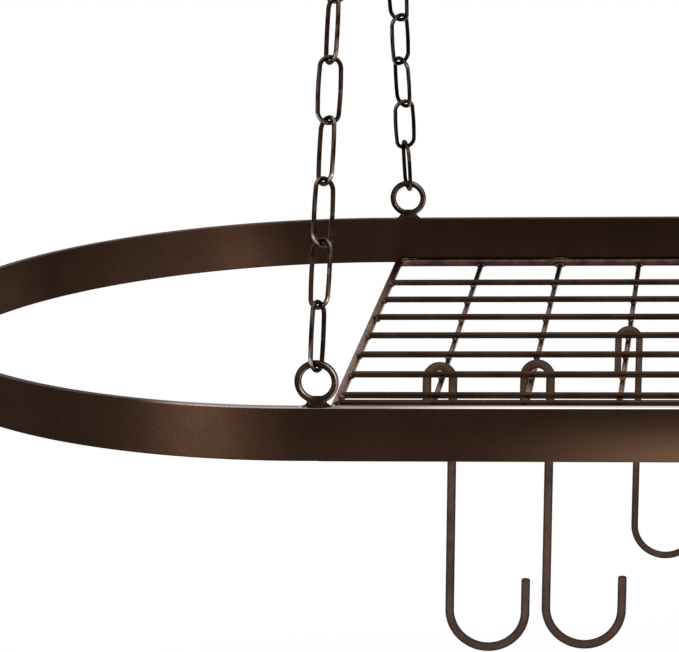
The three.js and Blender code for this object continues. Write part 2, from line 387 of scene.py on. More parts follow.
def rowTree():
    # copies of the object's own mesh in a straight row, each a little off true
    tree, given, result = newGeometry("rodRow", [
        ("Count", "Int", 7), ("First", "Vector", (0, 0, 0)), ("Step", "Vector", (0.05, 0, 0)),
        ("Off True", "Float", 0.002), ("Seed", "Int", 3),
    ])
    points = addNode(tree, "GeometryNodeMeshLine", {"mode": "OFFSET"}, Count=given["Count"],
                     StartLocation=given["First"], Offset=given["Step"])
    most = combine(tree, Z=given["Off True"])
    least = combine(tree, Z=times(tree, given["Off True"], -1.0))
    tilt = addNode(tree, "FunctionNodeRandomValue", {"data_type": "FLOAT_VECTOR"}, Min=least, Max=most,
                   Seed=given["Seed"])
    return endTree(tree, given, result, copies(tree, given, points, Rotation=out(tilt)))


def beadTree():
    # a bead of weld at each crossing of the grid: its own mesh on a flat array of points
    tree, given, result = newGeometry("weldBeads", [
        ("Across", "Int", 7), ("Deep", "Int", 8), ("Pitch Across", "Float", 0.05), ("Pitch Deep", "Float", 0.05),
        ("Centre", "Vector", (0, 0, 0)), ("Least Size", "Float", 0.85), ("Most Size", "Float", 1.15),
        ("Quarter Turns", "Float", 1.0), ("Seed", "Int", 5),
    ])

    def placeOf(index, count, pitch):
        half = times(tree, times(tree, minus(tree, count, 1.0), pitch), 0.5)
        return minus(tree, times(tree, index, pitch), half)

    index = addNode(tree, "GeometryNodeInputIndex").outputs[0]
    column = mathNode(tree, "FLOORED_MODULO", index, given["Across"])
    row = mathNode(tree, "FLOOR", mathNode(tree, "DIVIDE", plus(tree, index, 0.5), given["Across"]))
    flat = combine(tree, X=placeOf(column, given["Across"], given["Pitch Across"]),
                   Y=placeOf(row, given["Deep"], given["Pitch Deep"]))
    points = addNode(tree, "GeometryNodePoints", Count=times(tree, given["Across"], given["Deep"]))
    spread = addNode(tree, "GeometryNodeSetPosition", Geometry=points.outputs[0], Position=flat,
                     Offset=given["Centre"])
    size = addNode(tree, "FunctionNodeRandomValue", {"data_type": "FLOAT"}, Min=given["Least Size"],
                   Max=given["Most Size"], Seed=given["Seed"])
    quarters = addNode(tree, "FunctionNodeRandomValue", {"data_type": "INT"}, Min=0, Max=3, Seed=given["Seed"])
    angle = times(tree, times(tree, out(quarters), math.pi / 2), given["Quarter Turns"])
    beads = copies(tree, given, spread, Rotation=combine(tree, Z=angle), Scale=out(size))
    return endTree(tree, given, result, beads)


def linkTree():
    # links in a straight run along Z, each turned against the last
    tree, given, result = newGeometry("chainRun", [
        ("Count", "Int", 1), ("Pitch", "Float", 0.034), ("First Turn", "Float", 0.0), ("Turn Step", "Float", 1.57),
    ])
    points = addNode(tree, "GeometryNodeMeshLine", {"mode": "OFFSET"}, Count=given["Count"],
                     Offset=combine(tree, Z=given["Pitch"]))
    index = addNode(tree, "GeometryNodeInputIndex").outputs[0]
    turn = plus(tree, times(tree, index, given["Turn Step"]), given["First Turn"])
    return endTree(tree, given, result, copies(tree, given, points, Rotation=combine(tree, Z=turn)))


def threadTree():
    # a wood screw's ridge, wound up its shank
    tree, given, result = newGeometry("screwThread", [
        ("Turns", "Float", 9.0), ("Radius", "Float", 0.0024), ("Length", "Float", 0.024), ("Ridge", "Float", 0.0009),
        ("Steps", "Int", 16),
    ])
    spiral = addNode(tree, "GeometryNodeCurveSpiral", Resolution=given["Steps"], Rotations=given["Turns"],
                     StartRadius=given["Radius"], EndRadius=given["Radius"], Height=given["Length"])
    ridge = addNode(tree, "GeometryNodeCurvePrimitiveCircle", {"mode": "RADIUS"}, Resolution=4, Radius=given["Ridge"])
    upright = addNode(tree, "GeometryNodeSetCurveNormal", {"mode": "Z_UP"}, Curve=spiral.outputs[0])
    thread = addNode(tree, "GeometryNodeCurveToMesh", Curve=upright.outputs[0], ProfileCurve=ridge.outputs[0],
                     FillCaps=True)
    return endTree(tree, given, result, thread.outputs[0])


trees = {"bar": barTree(), "row": rowTree(), "beads": beadTree(), "links": linkTree(), "thread": threadTree()}
print("node trees built:", ", ".join(trees))


# shader groups that the finishes share
def rampNode(tree, value, low, high, lowTo=0.0, highTo=1.0):
    node = tree.nodes.new("ShaderNodeMapRange")
    node.interpolation_type = "SMOOTHSTEP"
    for socket, given in zip(node.inputs, (value, low, high, lowTo, highTo)):
        feed(tree, socket, given)
    return node.outputs[0]


def mixColours(tree, share, first, second):
    node = tree.nodes.new("ShaderNodeMix")
    node.data_type = "RGBA"
    node.clamp_result = True
    for socket, given in zip((node.inputs[0], node.inputs[6], node.inputs[7]), (share, first, second)):
        feed(tree, socket, given)
    return node.outputs[2]


def scaleColour(tree, colour, factor):
    return addNode(tree, "ShaderNodeVectorMath", {"operation": "SCALE"}, Vector=colour, Scale=factor).outputs[0]


clouds = {
    "patch": {"Detail": 5.0, "Roughness": 0.62},
    "patchStretch": 2.2,  # the noise seldom leaves its middle
    "patchRange": (0.1, 0.9),
    "grit": {"Detail": 2.0, "Roughness": 0.7},
    "gritRange": (0.3, 0.7),
    "chip": {"Detail": 3.0, "Roughness": 0.6},
    "chipRange": (0.25, 0.75),
}


def cloudNode(tree, place, size, kind):
    return addNode(tree, "ShaderNodeTexNoise", Vector=place, Scale=size, **clouds[kind]).outputs["Fac"]


def patinaGroup():
    # cloudy patches of darker and lighter bronze with a fine speckle over them
    group, given, result = newTree("bronzePatina", "ShaderNodeTree", [
        ("Coordinates", "Vector", None), ("Dark", "Color", (0.02, 0.012, 0.008, 1)),
        ("Light", "Color", (0.05, 0.03, 0.02, 1)), ("Patch Size", "Float", 24.0), ("Patch Contrast", "Float", 1.0),
        ("Speckle Size", "Float", 900.0), ("Speckle", "Float", 0.2),
    ], [("Color", "Color"), ("Patches", "Float"), ("Speckles", "Float")])
    cloud = cloudNode(group, given["Coordinates"], given["Patch Size"], "patch")
    contrast = times(group, given["Patch Contrast"], clouds["patchStretch"])
    spread = times(group, minus(group, cloud, 0.5), contrast)
    patches = rampNode(group, plus(group, spread, 0.5), *clouds["patchRange"])
    grit = cloudNode(group, given["Coordinates"], given["Speckle Size"], "grit")
    speckles = rampNode(group, grit, *clouds["gritRange"])
    lift = times(group, minus(group, speckles, 0.5), given["Speckle"])
    share = plus(group, patches, lift)
    group.links.new(mixColours(group, share, given["Dark"], given["Light"]), result["Color"])
    group.links.new(patches, result["Patches"])
    group.links.new(speckles, result["Speckles"])
    return group


def raggedRampGroup():
    # a mask that rises where a coordinate runs from one value to another, with a ragged edge; it places the band's
    # painted edge highlight
    group, given, result = newTree("raggedRampMask", "ShaderNodeTree", [
        ("Coordinates", "Vector", None), ("Value", "Float", 0.0), ("From", "Float", 0.0), ("To", "Float", 1.0),
        ("Ragged", "Float", 0.2), ("Grain", "Float", 300.0),
    ], [("Mask", "Float")])
    cloud = cloudNode(group, given["Coordinates"], given["Grain"], "chip")
    clear = rampNode(group, given["Value"], given["From"], given["To"])
    chip = times(group, minus(group, cloud, 0.5), given["Ragged"])
    mask = rampNode(group, plus(group, clear, chip), *clouds["chipRange"])
    group.links.new(mask, result["Mask"])
    return group


groups = {"patina": patinaGroup(), "rub": raggedRampGroup()}


def nodesIn(material):
    # a material's tree, its shader and the place of each spot on the piece
    material.use_nodes = True
    tree = material.node_tree
    return tree, tree.nodes["Principled BSDF"], addNode(tree, "ShaderNodeTexCoord").outputs["Object"]


def bronze(name, look):
    # the shared dark bronze coating, with each piece's own values
    material = bpy.data.materials.new(name)
    tree, shader, place = nodesIn(material)
    patina = addNode(tree, "ShaderNodeGroup", {"node_tree": groups["patina"]}, Coordinates=place,
                     Dark=look["dark"] + (1,), Light=look["light"] + (1,), PatchSize=look["patch"],
                     PatchContrast=look["contrast"], SpeckleSize=look["speckleSize"], Speckle=look["speckle"])
    patches = patina.outputs["Patches"]
    rough = rampNode(tree, patches, 0.0, 1.0, look["rough"] + look["roughSpread"],
                     look["rough"] - look["roughSpread"])
    dents = addNode(tree, "ShaderNodeBump", Strength=look["bump"], Distance=look["bumpDepth"],
                   Height=patina.outputs["Speckles"])
    # painted shade, darker towards the outline
    facing = addNode(tree, "ShaderNodeLayerWeight", Blend=0.5).outputs["Facing"]
    dim = rampNode(tree, facing, *look["rimSpan"], 1.0, 1.0 - look["rim"])
    # painted highlight: the mesh's painted-highlight share mixes in a pale colour
    worn = addNode(tree, "ShaderNodeAttribute", {"attribute_name": "worn"}).outputs["Fac"]
    chipped = times(tree, worn, rampNode(tree, patches, *look["chipped"]))
    coated = scaleColour(tree, patina.outputs["Color"], dim)
    feedAll(tree, shader, {
        "BaseColor": mixColours(tree, chipped, coated, look["bare"] + (1,)), "Roughness": rough,
        "Normal": dents.outputs[0], "Metallic": look["metal"], "SpecularIORLevel": look["gloss"],
        "SpecularTint": look["edge"] + (1,),
    })
    return material


bronzeLook = {
    "dark": (0.0165, 0.0083, 0.0048),
    "light": (0.034, 0.0182, 0.0112),
    "patch": 32.0,
    "contrast": 0.9,
    "speckleSize": 1100.0,
    "speckle": 0.42,
    "rough": 0.33,
    "roughSpread": 0.04,
    "metal": 1.0,
    "gloss": 0.5,
    "edge": (0.6, 0.575, 0.565),  # what it reflects at a glancing angle
    "rim": 0.0,  # painted shade: how much darker it turns towards its outline
    "rimSpan": (0.08, 0.62),
    "bare": (0.9, 0.71, 0.6),  # painted highlight colour, where the mesh carries a painted-highlight share (rings and links)
    "chipped": (0.0, 0.6, 0.35, 1.0),  # the painted highlight is stronger on the lighter patches
    "bump": 0.25,
    "bumpDepth": 0.00005,
}
chainShine = {"rough": 0.15, "patch": 110.0, "contrast": 1.3, "edge": (0.62, 0.54, 0.5), "rim": 0.5}
finishes = {
    "band": {"contrast": 0.18},
    # the frame and cross rods are a lighter copy of the bronze, a painted highlight on the wires that run front to
    # back
    "frame": {"dark": (0.08, 0.044, 0.031), "light": (0.21, 0.13, 0.097), "rough": 0.32, "patch": 90.0,
              "edge": (1.0, 0.82, 0.74), "rim": 0.5},
    "crossRod": {"dark": (0.06, 0.036, 0.026), "light": (0.15, 0.098, 0.074), "rough": 0.26, "patch": 80.0,
                 "edge": (1.0, 0.82, 0.74), "rim": 0.5},
    "longRod": {"dark": (0.022, 0.0112, 0.0068), "light": (0.04, 0.0228, 0.0148), "rough": 0.27, "patch": 60.0,
                "edge": (0.7, 0.6, 0.55), "rim": 0.35},
    "weld": {"dark": (0.014, 0.0075, 0.0048), "light": (0.11, 0.07, 0.05), "rough": 0.15, "patch": 220.0,
             "contrast": 1.4, "bump": 0.5},
    # weld spatter in a pale bronze, a painted glint
    "spatter": {"dark": (0.3, 0.24, 0.2), "light": (0.75, 0.68, 0.62), "rough": 0.15, "patch": 300.0,
                "edge": (1.0, 0.9, 0.85)},
    # a darker copy of the chain bronze, as painted shade on the back left chain and its twin at the front right
    "paintedShadeChain": chainShine | {"dark": (0.004, 0.0022, 0.0016), "light": (0.022, 0.014, 0.0105),
                              "edge": (0.55, 0.5, 0.47), "rim": 0.6},
    "chain": chainShine | {"dark": (0.01, 0.0055, 0.0037), "light": (0.04, 0.023, 0.0162)},
    "ring": chainShine | {"dark": (0.011, 0.006, 0.0041), "light": (0.032, 0.0185, 0.0128), "contrast": 1.2},
    "hook": {"dark": (0.055, 0.032, 0.021), "light": (0.105, 0.063, 0.042), "rough": 0.55, "metal": 0.0,
             "gloss": 0.12, "patch": 45.0, "contrast": 1.1, "edge": (1.0, 0.8, 0.7), "rim": 0.85},
    "ceilingHook": {"rough": 0.26, "patch": 80.0},
}
looks = {name: bronze(name + "Bronze", bronzeLook | own) for name, own in finishes.items()}


def paintBandLightAndShade(material):
    # painted light and shade on the band: painted sheen on the bends, painted shade on the front's top with painted
    # light at its foot, a painted warm glow low on the front middle and a painted highlight along the front top edge
    tree, shader, place = nodesIn(material)
    spot = addNode(tree, "ShaderNodeSeparateXYZ", Vector=place)
    fromMiddle = mathNode(tree, "ABSOLUTE", spot.outputs["X"])
    height = minus(tree, spot.outputs["Z"], bandTop)
    front = rampNode(tree, spot.outputs["Y"], *paintedEdgeHighlight["front"])

    # painted sheen, the same on both bends, set a little further round at the back left and the front right
    corner = mathNode(tree, "SIGN", times(tree, spot.outputs["X"], spot.outputs["Y"]))
    nearer = plus(tree, fromMiddle, times(tree, corner, paintedBendSheen["beginsFurther"]))
    further = plus(tree, fromMiddle, times(tree, corner, paintedBendSheen["endsFurther"]))
    bend = times(tree, rampNode(tree, nearer, *paintedBendSheen["begins"]), rampNode(tree, further, *paintedBendSheen["ends"]))
    bend = mathNode(tree, "MAXIMUM", bend, rampNode(tree, fromMiddle, *paintedBendSheen["tip"]))
    lighter = plus(tree, times(tree, bend, paintedBendSheen["lighter"]), 1.0)
    # painted shade on the front's top and painted light at its foot
    low = rampNode(tree, height, *paintedFrontLight["height"])
    shade = rampNode(tree, low, 0.0, 1.0, paintedFrontLight["darkTop"], paintedFrontLight["lightFoot"])
    onFront = times(tree, front, rampNode(tree, fromMiddle, *paintedFrontLight["straight"]))
    shade = plus(tree, times(tree, minus(tree, shade, 1.0), onFront), 1.0)
    coated = shader.inputs["Base Color"].links[0].from_socket
    coated = scaleColour(tree, coated, times(tree, lighter, shade))

    # a painted warm glow, low on the front middle
    leastGlow = paintedFrontLight["leastGlow"]
    glow = plus(tree, times(tree, low, 1 - leastGlow), leastGlow)
    glow = times(tree, times(tree, glow, rampNode(tree, fromMiddle, *paintedFrontLight["middle"])), front)
    warm = mixColours(tree, glow, coated, paintedFrontLight["colour"])
    # a painted highlight along the front top edge, fainter round the bends
    along = rampNode(tree, fromMiddle, paintedEdgeHighlight["ends"], paintedEdgeHighlight["middle"])
    faint = rampNode(tree, fromMiddle, *paintedEdgeHighlight["faint"], 0.0, paintedEdgeHighlight["faintness"])
    atEdge = addNode(tree, "ShaderNodeGroup", {"node_tree": groups["rub"]}, Coordinates=place, Value=height,
                     From=paintedEdgeHighlight["height"][0], To=paintedEdgeHighlight["height"][1], Ragged=paintedEdgeHighlight["ragged"],
                     Grain=paintedEdgeHighlight["grain"]).outputs["Mask"]
    bare = times(tree, times(tree, atEdge, mathNode(tree, "MAXIMUM", along, faint)), front)
    tree.links.new(mixColours(tree, bare, warm, paintedEdgeHighlight["colour"]), shader.inputs["Base Color"])
    rough = shader.inputs["Roughness"].links[0].from_socket
    smoother = times(tree, bare, paintedEdgeHighlight["smoother"])
    tree.links.new(minus(tree, rough, smoother), shader.inputs["Roughness"])


# the painted highlight along the band's front top edge
paintedEdgeHighlight = {
    "front": (-0.19, -0.2),  # only in front of this
    "ends": 0.215,  # where it has faded out, from the middle
    "middle": 0.085,  # where it is whole
    "faint": (0.3, 0.262),  # a fainter line runs on round the bends
    "faintness": 0.3,
    "height": (-0.0006875, -0.0004125),  # from the band's top
    "ragged": 0.35,
    "grain": 260.0,
    "colour": (0.92, 0.8, 0.73, 1),
    "smoother": 0.08,
}
# painted sheen on the band's bends
paintedBendSheen = {  # places along the band, from its middle
    "begins": (0.236, 0.288),
    "beginsFurther": 0.03,
    "ends": (0.375, 0.29),
    "endsFurther": 0.052,
    "tip": (0.4, 0.45),
    "lighter": 1.05,
}
# painted shade on the band's front top, painted light at its foot and a painted warm glow low on its middle
paintedFrontLight = {
    "straight": (0.232, 0.2),
    "middle": (0.125, -0.01),
    "height": (-0.002, -0.03),  # from the band's top
    "darkTop": 0.9,
    "lightFoot": 1.2,
    "leastGlow": 0.05,
    "colour": (0.17, 0.092, 0.055, 1),
}
paintBandLightAndShade(looks["band"])
dimmed = {"from": 0.012, "to": 0.003, "dimmer": 0.38}  # in from the frame's sides


def dimFrame(material, sides):
    # the frame's painted highlight stays on its sides: its front and back are darker
    tree, shader, place = nodesIn(material)
    fromMiddle = mathNode(tree, "ABSOLUTE", addNode(tree, "ShaderNodeSeparateXYZ", Vector=place).outputs["X"])
    share = rampNode(tree, fromMiddle, sides - dimmed["from"], sides - dimmed["to"], dimmed["dimmer"], 1.0)
    coated = shader.inputs["Base Color"].links[0].from_socket
    tree.links.new(scaleColour(tree, coated, share), shader.inputs["Base Color"])


dimFrame(looks["frame"], gridHigh.x)
print("finishes made:", ", ".join(looks))

# the oval band
band = {"thickness": 5 * mm, "edge": 0.7 * mm, "steps": 256}


def makeBand():
    size = bandHigh - bandLow
    made = emptyObject("ovalBand")
    grow(made, trees["bar"], {
        "Length": size.x, "Width": size.y, "Height": size.z, "Thickness": band["thickness"],
        "Edge Radius": band["edge"], "Steps": band["steps"], "Material": looks["band"],
    })
    moved(made, Matrix.Translation((bandLow + bandHigh) / 2))
    dress(made, looks["band"], "rack", "band", "oval_band")


makeBand()
print("oval band made")

# the wire grid
rods = {
    "frameCorner": 5 * mm,
    "cornerSteps": 12,
    "frameSides": 28,
    "cross": 3.2 * mm,
    "long": 3.7 * mm,
    "sides": 20,
    "crossOffTrue": 0.0015,
    "longOffTrue": 0.0009,
}
crossRods, longRods = nodesOf("cross_rod"), nodesOf("long_rod")


def makeGridFrame():
    wire, corner = gridHigh.z - gridLow.z, rods["frameCorner"]
    halfX = (gridHigh.x - gridLow.x - wire) / 2 - corner
    halfY = (gridHigh.y - gridLow.y - wire) / 2 - corner
    path = []
    for x, y, start in ((1, 1, 0), (-1, 1, 90), (-1, -1, 180), (1, -1, 270)):
        path += arc((x * halfX, y * halfY), corner, start, start + 90, rods["cornerSteps"])
    made = sweepWire("gridFrame", path, wire / 2, rods["frameSides"], closed=True)
    moved(made, Matrix.Translation((gridLow + gridHigh) / 2) @ Matrix.Rotation(-math.pi / 2, 4, "X"))
    dress(made, looks["frame"], "rack", "grid_rods", "grid_frame")


def makeRod(name, length, wire):
    half = length / 2
    path = [(-half, 0), (-half + 2 * wire, 0), (half - 2 * wire, 0), (half, 0)]
    return sweepWire(name, path, wire / 2, rods["sides"], ends=cutTip(wire / 2))


def makeRodRow(kind, nodes, axis, seed):
    # axis is 0 for rods along the oval and 1 for rods across it
    low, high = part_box(nodes[0])
    look = looks[kind + "Rod"]
    made = makeRod(kind + "Rods", (high - low)[axis], rods[kind])
    moved(made, Matrix.Rotation(math.pi / 2 * axis, 4, "Z"))
    first, last = nodeCentre(nodes[0]), nodeCentre(nodes[-1])
    grow(made, trees["row"], {
        "Count": len(nodes), "First": first, "Step": (last - first) / (len(nodes) - 1),
        "Off True": rods[kind + "OffTrue"], "Seed": seed, "Material": look,
    })
    dress(made, look, "rack", "grid_rods", *nodes)


def makePairedRod():
    low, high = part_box("paired_long_rod")
    made = makeRod("pairedRod", high.x - low.x, rods["long"])
    moved(made, Matrix.Translation((low + high) / 2))
    dress(made, looks["longRod"], "rack", "grid_rods", "paired_long_rod")


makeGridFrame()
makeRodRow("cross", crossRods, 1, 4)
makeRodRow("long", longRods, 0, 8)
makePairedRod()
print("wire grid made")

# welds on the grid
welds = {
    "longReach": 3.9 * mm,  # along the long rod, at its own height
    "crossReach": 4.8 * mm,  # along the cross rod, at its own height
    "narrow": 1.45 * mm,  # inside the wires
    "flare": 2.3,
    "around": 16,
    "levels": 9,
    "webLumps": (0.14, 1.6),  # how deep, and how close together
    "webSizes": (0.9, 1.1),
    "beadLumps": (0.16, 1.7),
    "endSize": (2.5 * mm, 3.125 * mm, 2.0 * mm),  # long rod to frame
    "endInset": 0.9,  # of the frame's wire, from the frame's outside
    "endUp": 0.62,  # from the frame's height to the long rod's
    "buttSize": (3.3 * mm, 2.6 * mm, 1.7 * mm),  # cross rod to frame
    "buttInset": 0.3 * mm,  # from the frame's inside
    "cornerSize": (3.4 * mm, 3.0 * mm, 1.9 * mm),
    "cornerInset": 0.75,  # of the frame's wire, from the frame's outside
    "cornerUp": 0.8 * mm,
    "tackSize": (7.5 * mm, 2.2 * mm, 1.9 * mm),  # frame to band
    "tackSizes": (0.8, 1.2),
    "tackInset": 0.1 * mm,
    "tackUp": 1.3 * mm,
    "tackPlaces": [-0.1975, -0.101, -0.02, 0.075, 0.1975],
}


def lumpy(spot, depth, closeness, seed=0.0):
    return 1 + depth * noise.noise(spot * closeness + Vector((seed, 0, 0)))


def webSize(share, reach):
    # a fillet's concave side: narrow at one wire, spread out at the other
    return welds["narrow"] + (reach - welds["narrow"]) * share ** welds["flare"]


def makeWeb(name, rise, seed):
    # the fillet between a cross rod and the long rod laid on it, from one wire's centre to the other's
    mesh, loops = bmesh.new(), []
    for level in range(welds["levels"] + 1):
        share = level / welds["levels"]
        wide, deep = webSize(share, welds["longReach"]), webSize(1 - share, welds["crossReach"])
        row = []
        for c, t in unitCircle(welds["around"]):
            swell = lumpy(Vector((c, t, share * 2)), *welds["webLumps"], seed)
            row.append(mesh.verts.new((wide * c * swell, deep * t * swell, (share - 0.5) * rise)))
        loops.append(row)
    skin(mesh, loops)
    lids(mesh, loops)
    return meshObject(name, mesh)


def makeBead(name, size, seed, around=16, levels=8):
    # a lump of weld
    mesh, loops = bmesh.new(), []
    for level in range(1, levels):
        lift = math.pi * (level / levels - 0.5)
        row = []
        for c, t in unitCircle(around):
            swell = lumpy(Vector((c, t, math.sin(lift))), *welds["beadLumps"], seed)
            reach = math.cos(lift) * swell
            row.append(mesh.verts.new((size[0] * reach * c, size[1] * reach * t, size[2] * math.sin(lift) * swell)))
        loops.append(row)
    skin(mesh, loops)
    fan(mesh, loops[0], (0, 0, -size[2]))
    fan(mesh, loops[-1], (0, 0, size[2]))
    return meshObject(name, mesh)


def beadField(made, counts, pitches, centre, seed, sizes=(0.85, 1.15), turns=2.0, material="weld"):
    return grow(made, trees["beads"], {
        "Across": counts[0], "Deep": counts[1], "Pitch Across": pitches[0], "Pitch Deep": pitches[1],
        "Centre": centre, "Quarter Turns": turns, "Least Size": sizes[0], "Most Size": sizes[1], "Seed": seed,
        "Material": looks[material],
    })


def makeWelds():
    cross, nextCross = nodeCentre(crossRods[0]), nodeCentre(crossRods[1])
    long, nextLong = nodeCentre(longRods[0]), nodeCentre(longRods[1])
    pairY = nodeCentre("paired_long_rod").y
    rise, seam = long.z - cross.z, (cross.z + long.z) / 2
    across, deep = nextCross.x - cross.x, long.y - nextLong.y
    crossCount, longCount = len(crossRods), len(longRods)
    wire = gridHigh.z - gridLow.z
    frameZ = (gridHigh.z + gridLow.z) / 2
    sides = 2 * (gridHigh.x - welds["endInset"] * wire)
    endZ = long.z * welds["endUp"] + frameZ * (1 - welds["endUp"])
    webs, ends = welds["webSizes"], welds["endSize"]
    pieces = [
        beadField(makeWeb("gridWelds", rise, 1), (crossCount, longCount), (across, deep), (0, 0, seam), 11, webs),
        beadField(makeWeb("pairedWelds", rise, 2), (crossCount, 1), (across, 0), (0, pairY, seam), 12, webs),
        beadField(makeBead("rodEndWelds", ends, 3), (2, longCount), (sides, deep), (0, 0, endZ), 13),
        beadField(makeBead("pairedEndWelds", ends, 4), (2, 1), (sides, 0), (0, pairY, endZ), 14),
    ]
    tackZ, tackPitch = frameZ + welds["tackUp"], 2 * (gridHigh.y - welds["tackInset"])
    for i, x in enumerate(welds["tackPlaces"]):
        tack = makeBead(f"bandTack{i}", welds["tackSize"], 6 + i)
        pieces.append(beadField(tack, (1, 2), (0, tackPitch), (x, 0, tackZ), 16 + i, welds["tackSizes"]))
    dress(joined("gridWelds", pieces), looks["weld"], "rack", "grid_rods")
    butts = (across, 2 * (gridHigh.y - wire - welds["buttInset"]))
    inset = wire * welds["cornerInset"]
    corners = (2 * (gridHigh.x - inset), 2 * (gridHigh.y - inset))
    pieces = [
        beadField(makeBead("frameWelds", welds["buttSize"], 5), (crossCount, 2), butts, (0, 0, cross.z), 15),
        beadField(makeBead("cornerWelds", welds["cornerSize"], 12), (2, 2), corners,
                  (0, 0, frameZ + welds["cornerUp"]), 21),
    ]
    # the frame welds take the cross rods' lighter finish, with its painted highlight
    dress(joined("frameWelds", pieces), looks["crossRod"], "rack", "grid_rods")


makeWelds()
print("grid welds made")

# hanging rings
ring = {
    "wire": 3.7 * mm,
    "outside": 22.9 * mm,
    "steps": 56,
    "sides": 20,
    # painted highlight on the ring
    "wear": 0.6,
    "wearSide": (0.8, 0.35),  # where the painted highlight is strongest, and how far from there
    "wearInside": (-0.68, 0.14),
    "wearOutside": (0.6, 0.14),
    "spatter": 0.55 * mm,
    "spatterCounts": (7, 2),
    "spatterPitches": (2.85 * mm, 2.9 * mm),
    "spatterSizes": (0.3, 1.3),
    "neck": [  # height, half width, half depth of the welded neck
        (-0.3, 7.6, 2.5), (0.5, 7.1, 2.45), (1.3, 5.9, 2.2), (2.2, 5.2, 1.95), (3.1, 5.2, 1.8), (3.9, 5.8, 1.7),
        (4.8, 6.4, 1.4), (5.4, 5.6, 1.1),
    ],
    "neckSides": 28,
    "neckSquareness": 0.7,
    "neckLumps": (0.1, 1.9),
    "neckApart": 40,  # for lumps of its own on each neck
    "neckRise": 0.4,
}


def ringHighlightPaint(centre, outward):
    # painted highlight, inside on the left and outside on the right
    left = -centre.x / centre.length
    side, reach = ring["wearSide"]
    inside = bump(left, side, reach) * bump(outward, *ring["wearInside"])
    outside = bump(left, -side, reach) * bump(outward, *ring["wearOutside"])
    return ring["wear"] * (inside + outside)


def makeNeck(x, y):
    mesh, loops = bmesh.new(), []
    for height, halfWidth, halfDepth in ring["neck"]:
        row = []
        for c, t in unitCircle(ring["neckSides"]):
            spot = Vector((c, t, height * ring["neckRise"])) + Vector((x, y, 0)) * ring["neckApart"]
            swell = lumpy(spot, *ring["neckLumps"])
            squareX, squareY = (math.copysign(abs(v) ** ring["neckSquareness"], v) for v in (c, t))
            row.append(mesh.verts.new((x + squareX * halfWidth * mm * swell, y + squareY * halfDepth * mm * swell,
                                       bandTop + height * mm)))
        loops.append(row)
    skin(mesh, loops)
    lids(mesh, loops)
    return meshObject("neck", mesh)


def makeRing(where):
    low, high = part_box(f"hanging_ring_{where}")
    x, y = (low.x + high.x) / 2, (low.y + high.y) / 2
    centre = high.z - ring["outside"] / 2
    path = arc((0, 0), (ring["outside"] - ring["wire"]) / 2, 0, 360, ring["steps"])
    loop = sweepWire("loop", path, ring["wire"] / 2, ring["sides"], closed=True, wear=ringHighlightPaint)
    moved(loop, Matrix.Translation((x, y, centre)))
    made = joined(nameOf("hangingRing", where), [loop, makeNeck(x, y)])
    dress(made, looks["ring"], "rack", "rings", f"hanging_ring_{where}")
    drops = makeBead("drops", (ring["spatter"],) * 3, 3 + x * 9, around=8, levels=5)
    seed = int(40 + 90 * (x + y))  # another one for each ring
    return beadField(drops, ring["spatterCounts"], ring["spatterPitches"], (x, y, bandTop), seed,
                     ring["spatterSizes"], 1.0, "spatter")


corners = ["front_left", "back_left", "back_right", "front_right"]
# the weld spatter drops, coloured pale as a painted glint
dress(joined("weldSpatter", [makeRing(corner) for corner in corners]), looks["spatter"], "rack", "rings")
print("hanging rings made")

# chains
chains = {
    "wire": 2.5 * mm,
    "width": 13.8 * mm,
    "innerLength": 33.4 * mm,
    "seatGap": 0.3 * mm,
    "bite": 0.25 * mm,
    "steps": 48,
    "sides": 14,
    "stations": 12,  # along each straight side
    "loose": 5,
    "joined": 10,
    "bow": 0.35 * mm,  # how far the sides swell past straight
    "notch": (0.35 * mm, 0.8),  # the closing joint: half its width, and how much wire is left
    # where the links get painted highlight
    "bendHeight": 13.5 * mm,
    "bendReach": 3.6 * mm,
    "bendFaces": (0.7, 0.22),
    "bendWear": 0.55,
    "upperShare": 0.3,  # the upper bends get less painted highlight
    "lineFaces": (0.45, 0.15),
    "lineWear": 0.1,
    "turns": [66, -33, 45, -46, 20, -56],  # degrees from face-on: the loose links, then the first upper one
    # the chains that get the painted-shade chain finish
    "darker": ("back_left", "front_right"),
    "darkerTurns": [-68, 24, -42, 42, -23, 56],
}
linkCentres = chains["innerLength"] + chains["wire"]
looseStep = chains["innerLength"] - chains["seatGap"]
joinedStep = chains["innerLength"] + chains["bite"]


def linkHighlightPaint(centre, outward):
    # painted highlight on the outer faces of the bends, and a thin painted highlight line down the sides
    bend = bump(abs(centre.z), chains["bendHeight"], chains["bendReach"]) * bump(outward, *chains["bendFaces"])
    bend *= 1 if centre.z < 0 else chains["upperShare"]
    line = bump(outward, *chains["lineFaces"]) * bump(centre.z, 0, chains["innerLength"] / 2)
    return chains["bendWear"] * bend + chains["lineWear"] * line


def makeLink(name):
    radius = (chains["width"] - chains["wire"]) / 2
    run = linkCentres / 2 - radius
    path = []
    for i in range(chains["steps"]):
        a = 2 * math.pi * (i + 0.5) / chains["steps"]
        x, z = radius * math.cos(a), radius * math.sin(a)
        path.append((x, z + math.copysign(run, z)))
    stations = chains["stations"]
    full = []
    for i, (x, z) in enumerate(path):
        full.append((x, z))
        nextX, nextZ = path[(i + 1) % len(path)]
        if abs(nextZ - z) > run:  # a straight side, bowed outwards, with the closing joint at its middle
            halfSeam = chains["notch"][0] / abs(nextZ - z)
            shares = [k / stations for k in range(1, stations) if k != stations // 2]
            for share in sorted(shares + [0.5 - halfSeam, 0.5, 0.5 + halfSeam]):
                bow = math.copysign(chains["bow"] * math.sin(math.pi * share), x)
                full.append((x + (nextX - x) * share + bow, z + (nextZ - z) * share))
    return sweepWire(name, full, chains["wire"] / 2, chains["sides"], True, notch=chains["notch"], wear=linkHighlightPaint)


